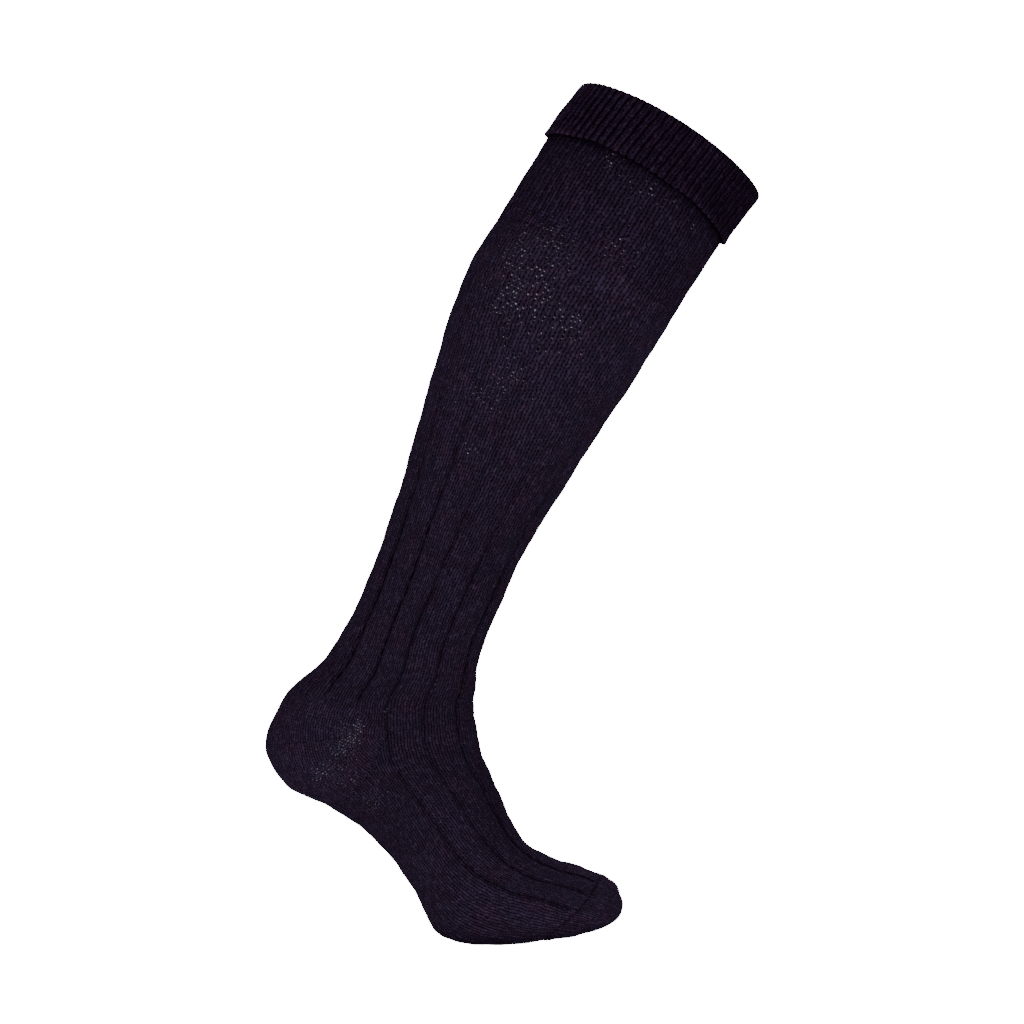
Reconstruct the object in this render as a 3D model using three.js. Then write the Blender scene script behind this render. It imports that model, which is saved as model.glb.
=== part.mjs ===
// A knee-high knitted kilt sock with a turned-over cuff, holding the form of the leg that fills it.
// Millimetres. +X runs from the heel towards the toe, +Z runs up the leg, Y runs across.
// The origin is the middle of the mouth, where the leg goes in.
import * as THREE from 'three';

// Sizes of the whole sock
const sockHeight = 550;       // underside of the foot to the back of the rim
const sockReach = 316;        // back of the heel to the front of the rim
const sockWidth = 118;        // widest place, across the calf

// Sizes of the knitting
const knitWall = 2.2;         // thickness of the leg, heel, foot and toe
const seamGap = 0.34;         // space left where two pieces meet
const ribGroove = 1.4;        // deepest groove between two broad ribs, at the ankle
const broadRibs = 12;         // broad ribs round the leg
const ribSteps = 6;           // points round each broad rib
const grooveSharpness = 12;   // higher numbers make the grooves narrower

// Sizes of the cuff and of the fine rib below it
const cuffDepth = 39;         // rim to the hem of the turned-over part
const cuffWall = 2.6;         // thickness of the turned-over part
const cuffLift = 0.4;         // space between the turned-over part and the band under it
const lipDepth = 7;           // how far the inner side of the fold reaches into the mouth
const hemRoll = 0.5;          // how far the hem stands proud of the cuff
const bandShow = 60;          // fine rib that shows below the cuff
const fineRibs = 72;          // fine ribs round the cuff and the band
const cuffRibRelief = 0.55;   // depth of the valleys between the cuff's ribs
const bandRibRelief = 0.45;   // depth of the valleys between the band's ribs

// Sizes of the heel pocket and the toe
const heelRise = 37;          // pocket above its corner line, up the back
const heelDrop = 59;          // pocket below its corner line, along the sole
const heelSpread = 3.4;       // higher numbers open the pocket faster from its corners
const toeTopDepth = 35;       // tip of the toe to the end of the ribs, over the top
const toeSoleDepth = 52;      // tip of the toe to the end of the sole

// How finely the skins are drawn: points round the plain inner ones, and rings along each skin
const innerSteps = 36;
const foldRings = 4;
const bandRings = { outer: 3, inner: 3 };
const legRings = { outer: 5, inner: 2 };
const footRings = { outer: 5, inner: 3 };
const heelRings = 6;
const toeRings = { outer: 5, inner: 3 };
const tipStep = 0.25;         // share of the last section step between the tip and its first ring
const cornerStep = 0.3;       // share of a point's step between the heel's corners and its end caps

const cuffColour = 0x110a15;
const knitColour = 0x1c1523;

// Sections across the sock from the rim to the tip of the toe. Reaches are shares of sockReach from
// the heel, heights are shares of sockHeight from the floor, half widths and side rises are shares of
// sockWidth, and grooves are shares of ribGroove. Squareness 2 is an ellipse and more flattens the
// sole. The front share is the part of the girth that the front half of the ribs takes, and a gather
// under 1 draws the ribs of the back half towards the sides, as the heel pocket does.
const columns = [
  'backReach', 'backHeight', 'frontReach', 'frontHeight', 'half', 'rise', 'squareness',
  'frontShare', 'gather', 'groove',
];
const sections = {
  rim: [0.650, 0.997, 0.994, 0.872, 0.483, 0.030, 2.0, 0.5, 1.0, 0.0],
  hem: [0.572, 0.936, 0.921, 0.815, 0.483, 0.059, 2.0, 0.5, 1.0, 0.0],
  bandEnd: [0.488, 0.859, 0.841, 0.741, 0.492, 0.042, 2.0, 0.5, 1.0, 0.1],
  calfTop: [0.424, 0.800, 0.781, 0.686, 0.500, 0.025, 2.0, 0.5, 1.0, 0.3],
  calf: [0.377, 0.737, 0.723, 0.633, 0.475, 0.010, 2.0, 0.5, 0.9, 0.35],
  calfUnder: [0.346, 0.681, 0.670, 0.587, 0.445, 0.0, 2.0, 0.495, 0.85, 0.4],
  midLeg: [0.320, 0.626, 0.619, 0.542, 0.411, 0.0, 2.0, 0.49, 0.85, 0.5],
  lowLeg: [0.287, 0.560, 0.561, 0.488, 0.373, 0.0, 2.0, 0.49, 0.82, 0.7],
  shin: [0.257, 0.505, 0.514, 0.441, 0.343, 0.0, 2.0, 0.495, 0.8, 0.9],
  shinEnd: [0.219, 0.440, 0.470, 0.385, 0.322, 0.0, 2.0, 0.505, 0.75, 1.0],
  ankle: [0.174, 0.384, 0.438, 0.337, 0.309, 0.0, 2.0, 0.505, 0.7, 1.0],
  tendon: [0.119, 0.333, 0.428, 0.301, 0.318, 0.0, 2.0, 0.48, 0.68, 1.0],
  heelTop: [0.045, 0.292, 0.423, 0.281, 0.322, 0.0, 2.0, 0.455, 0.62, 1.0],
  heelLine: [0.000, 0.233, 0.427, 0.263, 0.309, 0.0, 2.1, 0.42, 0.62, 1.0],
  heelUnder: [0.041, 0.187, 0.431, 0.247, 0.297, 0.0, 2.3, 0.44, 0.7, 1.0],
  heelEnd: [0.130, 0.160, 0.437, 0.226, 0.292, 0.0, 2.3, 0.48, 0.8, 1.0],
  archTop: [0.197, 0.134, 0.455, 0.202, 0.297, 0.0, 2.3, 0.5, 0.9, 1.0],
  arch: [0.251, 0.105, 0.473, 0.176, 0.309, 0.0, 2.3, 0.51, 1.0, 0.9],
  archEnd: [0.290, 0.074, 0.498, 0.145, 0.331, 0.0, 2.4, 0.485, 1.0, 0.85],
  instep: [0.319, 0.044, 0.531, 0.116, 0.356, 0.0, 2.5, 0.43, 1.0, 0.8],
  ballTop: [0.341, 0.021, 0.585, 0.098, 0.381, 0.0, 2.6, 0.38, 1.0, 0.8],
  ball: [0.379, 0.007, 0.641, 0.089, 0.394, 0.0, 2.6, 0.36, 1.0, 0.8],
  toeRoot: [0.455, 0.002, 0.678, 0.080, 0.388, 0.0, 2.5, 0.38, 1.0, 0.8],
  toeMiddle: [0.555, 0.008, 0.708, 0.070, 0.356, 0.0, 2.4, 0.42, 1.0, 0.0],
  toeCap: [0.626, 0.013, 0.720, 0.058, 0.305, 0.0, 2.3, 0.46, 1.0, 0.0],
  toeRound: [0.676, 0.021, 0.724, 0.044, 0.212, 0.0, 2.1, 0.5, 1.0, 0.0],
  toeTip: [0.713, 0.031, 0.713, 0.031, 0.0, 0.0, 2.0, 0.5, 1.0, 0.0],
};
const rows = Object.values(sections).map(
  (shares) => Object.fromEntries(columns.map((column, index) => [column, shares[index]])),
);
const lastStation = rows.length - 1;

// A station is a place in the table, and may lie between two rows
function stationOf(name) {
  return Object.keys(sections).indexOf(name);
}

// Past the rim the sock runs on straight, and past the tip it mirrors itself, so the toe closes round
function rowAt(index) {
  if (index < 0) {
    return Object.fromEntries(columns.map((column) => [column, 2 * rows[0][column] - rows[1][column]]));
  }
  if (index > lastStation) {
    const row = rows[lastStation - 1];
    return {
      ...row,
      backReach: row.frontReach,
      backHeight: row.frontHeight,
      frontReach: row.backReach,
      frontHeight: row.backHeight,
      half: -row.half,
    };
  }
  return rows[index];
}

// A smooth curve through b and c, with a and d before and after them
function smoothBetween(a, b, c, d, t) {
  const bend = 2 * a - 5 * b + 4 * c - d;
  const twist = 3 * b - a - 3 * c + d;
  return 0.5 * (2 * b + (c - a) * t + bend * t ** 2 + twist * t ** 3);
}

function sectionAt(station) {
  const index = Math.min(Math.floor(station), lastStation - 1);
  const near = [index - 1, index, index + 1, index + 2].map(rowAt);
  const share = Object.fromEntries(
    columns.map((column) => [column, smoothBetween(...near.map((row) => row[column]), station - index)]),
  );
  return {
    back: new THREE.Vector3(share.backReach * sockReach, 0, share.backHeight * sockHeight),
    front: new THREE.Vector3(share.frontReach * sockReach, 0, share.frontHeight * sockHeight),
    half: share.half * sockWidth,
    rise: share.rise * sockWidth,
    squareness: share.squareness,
    frontShare: share.frontShare,
    gather: share.gather,
    groove: share.groove * ribGroove,
  };
}

function middleOf(section) {
  return section.back.clone().lerp(section.front, 0.5);
}

const mouth = middleOf(sectionAt(0));

// A point of a section, with angle 0 at the front and a quarter turn at the -Y side
function pointAtAngle(section, angle) {
  const power = Math.cos(angle) < 0 ? 2 / section.squareness : 1;
  const forward = Math.sign(Math.cos(angle)) * Math.abs(Math.cos(angle)) ** power;
  const sideways = Math.sign(Math.sin(angle)) * Math.abs(Math.sin(angle)) ** power;
  const reach = section.front.clone().sub(section.back).multiplyScalar(0.5);
  const upLeg = new THREE.Vector3(-reach.z, 0, reach.x).normalize();
  return middleOf(section)
    .addScaledVector(reach, forward)
    .add(new THREE.Vector3(0, -section.half * sideways, 0))
    .addScaledVector(upLeg, section.rise * sideways ** 2)
    .sub(mouth);
}

// Turns run from 0 at the front through 0.5 at the back to 1. Equal steps of a turn are equal
// lengths of knitting round the front half, and round the back half where it isn't gathered.
function angleAtTurn(section, turn) {
  const steps = 60;
  const side = turn <= 0.5 ? 1 : -1;
  const halfTurn = turn <= 0.5 ? turn : 1 - turn;
  const fromBack = 2 - 4 * halfTurn;
  const frontPart = 4 * section.frontShare * halfTurn;
  const backPart = 1 - (1 - section.frontShare) * Math.max(fromBack, 0) ** section.gather;
  const share = fromBack < 1 ? backPart : frontPart;
  const lengths = [0];
  let last = pointAtAngle(section, 0);
  for (let step = 1; step <= steps; step += 1) {
    const next = pointAtAngle(section, (Math.PI * step) / steps);
    lengths.push(lengths[step - 1] + next.distanceTo(last));
    last = next;
  }
  const wanted = share * lengths[steps];
  const after = Math.max(1, lengths.findIndex((length) => length >= wanted - 1e-9));
  const within = (wanted - lengths[after - 1]) / (lengths[after] - lengths[after - 1]);
  return (side * Math.PI * (after - 1 + within)) / steps;
}

function surfacePoint(station, turn) {
  const section = sectionAt(station);
  return pointAtAngle(section, angleAtTurn(section, turn - Math.floor(turn)));
}

function slopes(station, turn) {
  const alongStep = 0.02;
  const roundStep = 0.004;
  const along = surfacePoint(station + alongStep, turn).sub(surfacePoint(station - alongStep, turn));
  const round = surfacePoint(station, turn + roundStep).sub(surfacePoint(station, turn - roundStep));
  return {
    along: along.divideScalar(2 * alongStep),
    round: round.divideScalar(2 * roundStep),
  };
}

// A point that stands the given height outside the sock's form, or inside it where height is negative
function raisedPoint(station, turn, height) {
  const { along, round } = slopes(station, turn);
  const outward = along.cross(round).normalize();
  return surfacePoint(station, turn).addScaledVector(outward, -height);
}

// The station that lies a given length further along a line of the sock
function stationAfter(start, length, lineAt) {
  const step = 0.01 * Math.sign(length);
  let station = start;
  let left = Math.abs(length);
  while (left > 0) {
    left -= lineAt(station + step).distanceTo(lineAt(station));
    station += step;
  }
  return station;
}

const middleLine = (station) => middleOf(sectionAt(station));
const backLine = (station) => sectionAt(station).back;
const frontLine = (station) => sectionAt(station).front;

const bandTop = stationAfter(0, lipDepth, middleLine);
const bandBottom = stationAfter(0, cuffDepth + bandShow, middleLine);
const heelCorner = stationOf('heelLine');
const heelUpper = stationAfter(heelCorner, -heelRise, backLine);
const heelLower = stationAfter(heelCorner, heelDrop, backLine);
const toeTop = stationAfter(lastStation, -toeTopDepth, frontLine);
const toeSole = stationAfter(lastStation, -toeSoleDepth, backLine);

// The pocket starts at its two corners, a quarter turn from the front, and is tallest at the back
function pocketShare(turn) {
  const cell = broadRibs * ribSteps;
  const fromFront = Math.min(turn, 1 - turn) * cell;
  const corner = cell / 4;
  if (fromFront <= corner) {
    return 0;
  }
  const opened = (count) => 1 - (1 - (count - corner) / corner) ** heelSpread;
  const below = Math.floor(fromFront + 1e-9);
  const beyond = Math.min(below + 1, cell / 2);
  return opened(below) + (opened(beyond) - opened(below)) * (fromFront - below);
}
const heelUpperEdge = (turn) => heelCorner + (heelUpper - heelCorner) * pocketShare(turn);
const heelLowerEdge = (turn) => heelCorner + (heelLower - heelCorner) * pocketShare(turn);
const toeEdge = (turn) => toeTop + (toeSole - toeTop) * 0.5 * (1 - Math.cos(2 * Math.PI * turn));

// An edge moved along the sock until it lies the given distance from where it was
function shiftedEdge(edge, distance) {
  return (turn) => {
    const step = 0.25 / (broadRibs * ribSteps);
    const { along, round } = slopes(edge(turn), turn);
    const leaning = (edge((turn + step) % 1) - edge((turn + 1 - step) % 1)) / (2 * step);
    const edgeDirection = along.clone().multiplyScalar(leaning).add(round).normalize();
    return edge(turn) + distance / along.cross(edgeDirection).length();
  };
}

// Rings of points round the sock, each with its own number of points, starting at the front
function ringAt(count, edge, heightAt) {
  return Array.from({ length: count }, (_, index) => {
    const turn = index / count;
    return raisedPoint(edge(turn), turn, heightAt(turn));
  });
}

function ringsBetween(ringCount, count, fromEdge, toEdge, heightAt) {
  return Array.from({ length: ringCount + 1 }, (_, index) => {
    const edge = (turn) => THREE.MathUtils.lerp(fromEdge(turn), toEdge(turn), index / ringCount);
    return ringAt(count, edge, (turn) => heightAt(edge(turn), turn));
  });
}

// Triangles between two rings, one of which may have more points than the other, or be one point
function stitchRings(triangles, first, second) {
  const firstCount = first.length > 1 ? first.length : 0;
  const secondCount = second.length > 1 ? second.length : 0;
  let one = 0;
  let two = 0;
  while (one < firstCount || two < secondCount) {
    const here = first[one % first.length];
    const across = second[two % second.length];
    if ((one + 1) * secondCount <= (two + 1) * firstCount) {
      one += 1;
      triangles.push(here, first[one % first.length], across);
    } else {
      two += 1;
      triangles.push(here, second[two % second.length], across);
    }
  }
}

function knitMesh(name, rings, colour, cap) {
  const positions = [];
  const triangles = [];
  const numbered = rings.map((ring) => ring.map((point) => {
    positions.push(point.x, point.y, point.z);
    return positions.length / 3 - 1;
  }));
  for (let index = 1; index < numbered.length; index += 1) {
    stitchRings(triangles, numbered[index - 1], numbered[index]);
  }
  cap(triangles, numbered);
  const geometry = new THREE.BufferGeometry();
  geometry.setAttribute('position', new THREE.Float32BufferAttribute(positions, 3));
  geometry.setIndex(triangles);
  geometry.computeVertexNormals();
  const material = new THREE.MeshStandardMaterial({ color: colour, roughness: 0.95, metalness: 0 });
  const mesh = new THREE.Mesh(geometry, material);
  mesh.name = name;
  return mesh;
}

// The last ring joins the first, so the wall closes on itself
function joinEnds(triangles, numbered) {
  stitchRings(triangles, numbered[numbered.length - 1], numbered[0]);
}

// The first and last rings are single points, so the skin is closed already
function leaveEnds() {}

// Broad ribs: a groove at each twelfth of a turn, and only over the instep on the foot
function grooveHeight(station, turn) {
  return -sectionAt(station).groove * Math.abs(Math.cos(Math.PI * broadRibs * turn)) ** grooveSharpness;
}

function instepHeight(station, turn) {
  const sideGroove = 0.25 + 0.5 / broadRibs;
  const onSole = turn > sideGroove && turn < 1 - sideGroove;
  return onSole ? 0 : grooveHeight(station, turn);
}

// Fine ribs: every second point lies in a valley
function fineRibHeight(relief) {
  return (turn) => (Math.round(turn * 2 * fineRibs) % 2 === 1 ? -relief : 0);
}

// The cuff is one wall: a short lip above the band, a round fold, and a layer down to the hem
function turnoverCuff() {
  const foldRadius = (knitWall + cuffLift + cuffWall) / 2;
  const foldMiddle = foldRadius - knitWall;
  const ribHeight = fineRibHeight(cuffRibRelief);
  const fine = (depth, height) => {
    const station = stationAfter(0, depth, middleLine);
    return ringAt(2 * fineRibs, () => station, (turn) => height + ribHeight(turn));
  };
  const plain = (depth, height) => {
    const station = stationAfter(0, depth, middleLine);
    return ringAt(fineRibs, () => station, () => height);
  };
  const fold = Array.from({ length: foldRings + 1 }, (_, index) => {
    const angle = (Math.PI * index) / foldRings;
    return fine(foldRadius * (1 - Math.sin(angle)), foldMiddle - foldRadius * Math.cos(angle));
  });
  fold.shift();
  const outerFace = cuffLift + cuffWall;
  const lipEnd = lipDepth - seamGap;
  return knitMesh('turnover_cuff', [
    plain(lipEnd, -knitWall),
    plain(foldRadius, -knitWall),
    ...fold,
    fine(cuffDepth - 2 * cuffWall, outerFace),
    fine(cuffDepth - cuffWall / 2, outerFace + hemRoll),
    plain(cuffDepth, cuffLift + cuffWall / 2),
    plain(cuffDepth - cuffWall / 2, cuffLift),
    plain(foldRadius, cuffLift),
    plain(foldRadius, 0),
    plain(lipEnd, 0),
  ], cuffColour, joinEnds);
}

// The band is the fine rib that the cuff turns down over, and it grips the leg below the knee
function garterBand() {
  const ribHeight = fineRibHeight(bandRibRelief);
  const upper = () => bandTop;
  const lower = shiftedEdge(() => bandBottom, -seamGap / 2);
  const outer = ringsBetween(bandRings.outer, 2 * fineRibs, upper, lower, (_, turn) => ribHeight(turn));
  const inner = ringsBetween(bandRings.inner, innerSteps, lower, upper, () => -knitWall);
  return knitMesh('garter_band', [...outer, ...inner], knitColour, joinEnds);
}

// A knitted tube, held in lengths that meet at the edges between them
function tubeLengths(names, edges, rings, heightAt) {
  return names.map((name, index) => {
    const upper = shiftedEdge(edges[index], seamGap / 2);
    const lower = shiftedEdge(edges[index + 1], -seamGap / 2);
    const outer = ringsBetween(rings.outer, broadRibs * ribSteps, upper, lower, heightAt);
    const inner = ringsBetween(rings.inner, innerSteps, lower, upper, () => -knitWall);
    return knitMesh(name, [...outer, ...inner], knitColour, joinEnds);
  });
}

// The leg is one knitted tube, held here in three lengths that meet at the middle and the shin
function leg() {
  const edges = [() => bandBottom, () => stationOf('midLeg'), () => stationOf('shinEnd'), heelUpperEdge];
  return tubeLengths(['leg_calf', 'leg_shin', 'leg_ankle'], edges, legRings, grooveHeight);
}

// The foot is one knitted tube too, held here in two lengths that meet at the instep
function foot() {
  const edges = [heelLowerEdge, () => stationOf('instep'), toeEdge];
  return tubeLengths(['foot_arch', 'foot_ball'], edges, footRings, instepHeight);
}

// The pocket is swept from one corner round the back to the other, with a flat cap at each corner
function heel() {
  const upper = shiftedEdge(heelUpperEdge, seamGap / 2);
  const lower = shiftedEdge(heelLowerEdge, -seamGap / 2);
  const cell = broadRibs * ribSteps;
  const counts = Array.from({ length: cell / 2 - 1 }, (_, index) => cell / 4 + 1 + index);
  const turns = [cell / 4 + cornerStep, ...counts, (3 * cell) / 4 - cornerStep].map((count) => count / cell);
  const rings = turns.map((turn) => {
    const strip = (height) => Array.from({ length: heelRings + 1 }, (_, index) => {
      const station = THREE.MathUtils.lerp(upper(turn), lower(turn), index / heelRings);
      return raisedPoint(station, turn, height);
    });
    return [...strip(-knitWall), ...strip(0).reverse()];
  });
  return knitMesh('heel', rings, knitColour, (triangles, numbered) => {
    const ends = [[...numbered[0]].reverse(), numbered[numbered.length - 1]];
    ends.forEach((ring) => {
      for (let index = 0; index < heelRings; index += 1) {
        const across = ring.length - 1 - index;
        triangles.push(ring[index], ring[index + 1], ring[across]);
        triangles.push(ring[index + 1], ring[across - 1], ring[across]);
      }
    });
  });
}

// The toe is a cup: rings that close on one point inside and on one point outside
function toe() {
  const upper = shiftedEdge(toeEdge, seamGap / 2);
  const lastRing = () => lastStation - tipStep;
  const tip = middleLine(lastStation).sub(mouth);
  const towardsTip = middleLine(lastStation).sub(middleLine(lastStation - 1)).normalize();
  const tipInside = tip.clone().addScaledVector(towardsTip, -knitWall);
  const inner = ringsBetween(toeRings.inner, innerSteps, lastRing, upper, () => -knitWall);
  const outer = ringsBetween(toeRings.outer, broadRibs * ribSteps, upper, lastRing, () => 0);
  return knitMesh('toe', [[tipInside], ...inner, ...outer, [tip]], knitColour, leaveEnds);
}

const sock = new THREE.Group();
sock.add(turnoverCuff(), garterBand(), ...leg(), heel(), ...foot(), toe());

export default sock;
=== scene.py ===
import math

import bpy
import numpy as np
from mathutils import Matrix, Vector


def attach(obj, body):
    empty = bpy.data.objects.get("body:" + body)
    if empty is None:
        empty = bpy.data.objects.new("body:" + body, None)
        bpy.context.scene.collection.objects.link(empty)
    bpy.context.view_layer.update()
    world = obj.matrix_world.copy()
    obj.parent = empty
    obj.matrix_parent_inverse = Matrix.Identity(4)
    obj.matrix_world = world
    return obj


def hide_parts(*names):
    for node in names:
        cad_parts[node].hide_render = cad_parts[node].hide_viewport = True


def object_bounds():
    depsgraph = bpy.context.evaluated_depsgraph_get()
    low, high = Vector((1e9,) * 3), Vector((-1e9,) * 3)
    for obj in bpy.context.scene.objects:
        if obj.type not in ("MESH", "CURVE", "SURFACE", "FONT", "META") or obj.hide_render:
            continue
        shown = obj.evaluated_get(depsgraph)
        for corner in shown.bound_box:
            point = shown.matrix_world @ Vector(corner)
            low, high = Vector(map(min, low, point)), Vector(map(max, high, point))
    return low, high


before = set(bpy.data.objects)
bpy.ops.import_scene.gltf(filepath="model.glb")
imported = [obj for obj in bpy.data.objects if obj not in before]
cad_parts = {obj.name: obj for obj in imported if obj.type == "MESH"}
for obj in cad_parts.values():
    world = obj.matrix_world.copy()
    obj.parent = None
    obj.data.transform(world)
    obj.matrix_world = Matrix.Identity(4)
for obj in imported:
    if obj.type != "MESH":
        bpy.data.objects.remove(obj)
solid_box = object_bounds()

# The camera stands level with the shin and looks square at the side of the sock, as for a product
# photograph. The middle of its view is at the front of the shin, and it takes in 655 mm at the sock.
view_distance = 1.5
view_width = 0.655
view_middle = (-0.1018, -0.238)
camera = bpy.data.objects.new("camera", bpy.data.cameras.new("camera"))
camera.data.sensor_width = 36
camera.data.lens = camera.data.sensor_width * view_distance / view_width
camera.location = (view_middle[0], -view_distance, view_middle[1])
camera.rotation_euler = (math.radians(90), 0, 0)
bpy.context.collection.objects.link(camera)
bpy.context.scene.camera = camera

# Turned-over cuff. The top of the sock is folded outwards over the band: a short lip lies inside
# the mouth, a round fold makes the rim, and the outer layer runs down to the cast-on edge. It is
# thick wool in one-and-one rib, and the knitting of the whole sock is laid on one leg-shaped form.
sock_height = 0.550
sock_reach = 0.316
sock_width = 0.118
knit_wall = 0.0022
# The form is a row of sections from the rim to the tip of the toe. Reaches are shares of the sock's
# reach, forwards from the heel, and heights are shares of its height, up from the ball of the foot.
# Half and rise are shares of its width: half the width of the section, and how far its sides rise
# above its middle. Squareness is 2 for an oval and more where the back is flatter. Front share is the
# part of half a turn's length that the front columns take, gather is under 1 where the columns of the
# back draw together towards the side, and groove is how far the broad ribs close.
columns = (
    "back_reach", "back_height", "front_reach", "front_height", "half", "rise", "squareness",
    "front_share", "gather", "groove",
)
sections = {
    "rim": (0.650, 0.997, 0.994, 0.872, 0.483, 0.030, 2.0, 0.5, 1.0, 0.0),
    "hem": (0.572, 0.936, 0.921, 0.815, 0.483, 0.059, 2.0, 0.5, 1.0, 0.0),
    "band_end": (0.488, 0.859, 0.841, 0.741, 0.492, 0.042, 2.0, 0.5, 1.0, 0.1),
    "calf_top": (0.424, 0.800, 0.781, 0.686, 0.500, 0.025, 2.0, 0.5, 1.0, 0.3),
    "calf": (0.377, 0.737, 0.723, 0.633, 0.475, 0.010, 2.0, 0.5, 0.9, 0.35),
    "calf_under": (0.346, 0.681, 0.670, 0.587, 0.445, 0.0, 2.0, 0.495, 0.85, 0.4),
    "mid_leg": (0.320, 0.626, 0.619, 0.542, 0.411, 0.0, 2.0, 0.49, 0.85, 0.5),
    "low_leg": (0.287, 0.560, 0.561, 0.488, 0.373, 0.0, 2.0, 0.49, 0.82, 0.7),
    "shin": (0.257, 0.505, 0.514, 0.441, 0.343, 0.0, 2.0, 0.495, 0.8, 0.9),
    "shin_end": (0.219, 0.440, 0.470, 0.385, 0.322, 0.0, 2.0, 0.505, 0.75, 1.0),
    "ankle": (0.174, 0.384, 0.438, 0.337, 0.309, 0.0, 2.0, 0.505, 0.7, 1.0),
    "tendon": (0.119, 0.333, 0.428, 0.301, 0.318, 0.0, 2.0, 0.48, 0.68, 1.0),
    "heel_top": (0.045, 0.292, 0.423, 0.281, 0.322, 0.0, 2.0, 0.455, 0.62, 1.0),
    "heel_line": (0.000, 0.233, 0.427, 0.263, 0.309, 0.0, 2.1, 0.42, 0.62, 1.0),
    "heel_under": (0.041, 0.187, 0.431, 0.247, 0.297, 0.0, 2.3, 0.44, 0.7, 1.0),
    "heel_end": (0.130, 0.160, 0.437, 0.226, 0.292, 0.0, 2.3, 0.48, 0.8, 1.0),
    "arch_top": (0.197, 0.134, 0.455, 0.202, 0.297, 0.0, 2.3, 0.5, 0.9, 1.0),
    "arch": (0.251, 0.105, 0.473, 0.176, 0.309, 0.0, 2.3, 0.51, 1.0, 0.9),
    "arch_end": (0.290, 0.074, 0.498, 0.145, 0.331, 0.0, 2.4, 0.485, 1.0, 0.85),
    "instep": (0.319, 0.044, 0.531, 0.116, 0.356, 0.0, 2.5, 0.43, 1.0, 0.8),
    "ball_top": (0.341, 0.021, 0.585, 0.098, 0.381, 0.0, 2.6, 0.38, 1.0, 0.8),
    "ball": (0.379, 0.007, 0.641, 0.089, 0.394, 0.0, 2.6, 0.36, 1.0, 0.8),
    "toe_root": (0.455, 0.002, 0.678, 0.080, 0.388, 0.0, 2.5, 0.38, 1.0, 0.8),
    "toe_middle": (0.555, 0.008, 0.708, 0.070, 0.356, 0.0, 2.4, 0.42, 1.0, 0.0),
    "toe_cap": (0.626, 0.013, 0.720, 0.058, 0.305, 0.0, 2.3, 0.46, 1.0, 0.0),
    "toe_round": (0.676, 0.021, 0.724, 0.044, 0.212, 0.0, 2.1, 0.5, 1.0, 0.0),
    "toe_tip": (0.713, 0.031, 0.713, 0.031, 0.0, 0.0, 2.0, 0.5, 1.0, 0.0),
}
section_rows = np.array(list(sections.values()))
last_station = len(section_rows) - 1
straight_on = 2 * section_rows[0] - section_rows[1]
mirrored = section_rows[-2][[2, 3, 0, 1, 4, 5, 6, 7, 8, 9]] * [1, 1, 1, 1, -1, 1, 1, 1, 1, 1]
padded_rows = np.vstack([straight_on, section_rows, mirrored])


def station_of(name):
    return list(sections).index(name)


def section_at(station):
    """The sock's section at a station, which is a place in the table and may lie between two rows."""
    station = np.asarray(station, dtype=float)
    index = np.clip(np.floor(station).astype(int), 0, last_station - 1)
    t = (station - index)[..., None]
    before, here, following, after = (padded_rows[index + step] for step in range(4))
    bend = 2 * before - 5 * here + 4 * following - after
    twist = 3 * here - before - 3 * following + after
    shares = 0.5 * (2 * here + (following - before) * t + bend * t ** 2 + twist * t ** 3)
    return {name: shares[..., number] for number, name in enumerate(columns)}


def back_line(section):
    return np.stack([section["back_reach"] * sock_reach, 0 * section["half"],
                     section["back_height"] * sock_height], axis=-1)


def front_line(section):
    return np.stack([section["front_reach"] * sock_reach, 0 * section["half"],
                     section["front_height"] * sock_height], axis=-1)


def middle_line(section):
    return 0.5 * (back_line(section) + front_line(section))


mouth = middle_line(section_at(0))


# Keeps a division sound where a length is nothing, as at the tip of the toe
tiny = 1e-15


def point_at_angle(section, angle):
    """A point of a section, with angle 0 at the front and a quarter turn at the camera's side."""
    power = np.where(np.cos(angle) < 0, 2 / section["squareness"], 1.0)
    forward = np.sign(np.cos(angle)) * np.abs(np.cos(angle)) ** power
    sideways = np.sign(np.sin(angle)) * np.abs(np.sin(angle)) ** power
    reach = 0.5 * (front_line(section) - back_line(section))
    up_leg = np.stack([-reach[..., 2], reach[..., 1], reach[..., 0]], axis=-1)
    up_leg = up_leg / (np.linalg.norm(up_leg, axis=-1, keepdims=True) + tiny)
    across = np.array([0.0, -sock_width, 0.0])
    point = middle_line(section) - mouth + reach * forward[..., None]
    point = point + across * (section["half"] * sideways)[..., None]
    return point + up_leg * (section["rise"] * sock_width * sideways ** 2)[..., None]


# Equal steps of a turn are equal lengths of knitting, so the angle is looked up by length
rows_per_station = 12
angle_steps = 120
share_steps = 240
least_step = 1e-9
table_stations = np.linspace(0, last_station, rows_per_station * last_station + 1)
table_angles = np.linspace(0, math.pi, angle_steps + 1)
table_shares = np.linspace(0, 1, share_steps + 1)
table_section = section_at(np.repeat(table_stations[:, None], len(table_angles), axis=1))
table_points = point_at_angle(table_section, np.broadcast_to(table_angles, table_section["half"].shape))
table_steps = np.linalg.norm(np.diff(table_points, axis=1), axis=-1) + least_step
table_starts = np.zeros((len(table_stations), 1))
table_lengths = np.concatenate([table_starts, np.cumsum(table_steps, axis=1)], axis=1)
angle_table = np.array([
    np.interp(table_shares * lengths[-1], lengths, table_angles) for lengths in table_lengths
])

# The columns of the back half are stretched wide at the very back where gather is under 1, and drawn
# together towards the side. The ease keeps the widest ones from tearing open.
gather_pull = 1.3
back_ease = 0.05
inside_table = 1.001


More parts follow.
